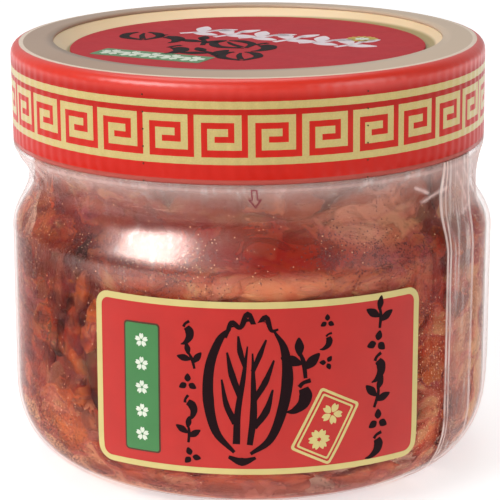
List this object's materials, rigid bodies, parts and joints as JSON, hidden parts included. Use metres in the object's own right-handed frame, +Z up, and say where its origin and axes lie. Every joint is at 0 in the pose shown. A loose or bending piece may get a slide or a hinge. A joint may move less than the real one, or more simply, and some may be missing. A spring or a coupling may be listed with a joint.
{
  "type": "kimchi jar",
  "caption": "Squat clear plastic jar of kimchi with a wide screw lid and a printed shrink sleeve over lid, neck and side.",
  "frame": {"origin": "centre of the jar's standing ring, on the surface it stands on", "axes": "+Z up along the jar's axis, front label towards -Y, sleeve seam towards +X"},
  "size_m": [0.1024, 0.1024, 0.0906],
  "materials": {
    "clear_plastic": "clear, smooth and glossy moulded plastic",
    "lid_plastic": "cream, semi-gloss moulded plastic with upright grip ridges",
    "printed_card": "red print with gold and green fields, satin",
    "printed_film": "thin glossy shrink film, red and gold print on the lid and front, clear elsewhere",
    "kimchi": "wet red cabbage leaves and stems with chilli flakes"
  },
  "bodies": {
    "root": {"jar": "clear_plastic", "lid": "lid_plastic", "lid_label": "printed_card", "sleeve": "printed_film", "kimchi": "kimchi"}
  },
  "joints": []
}
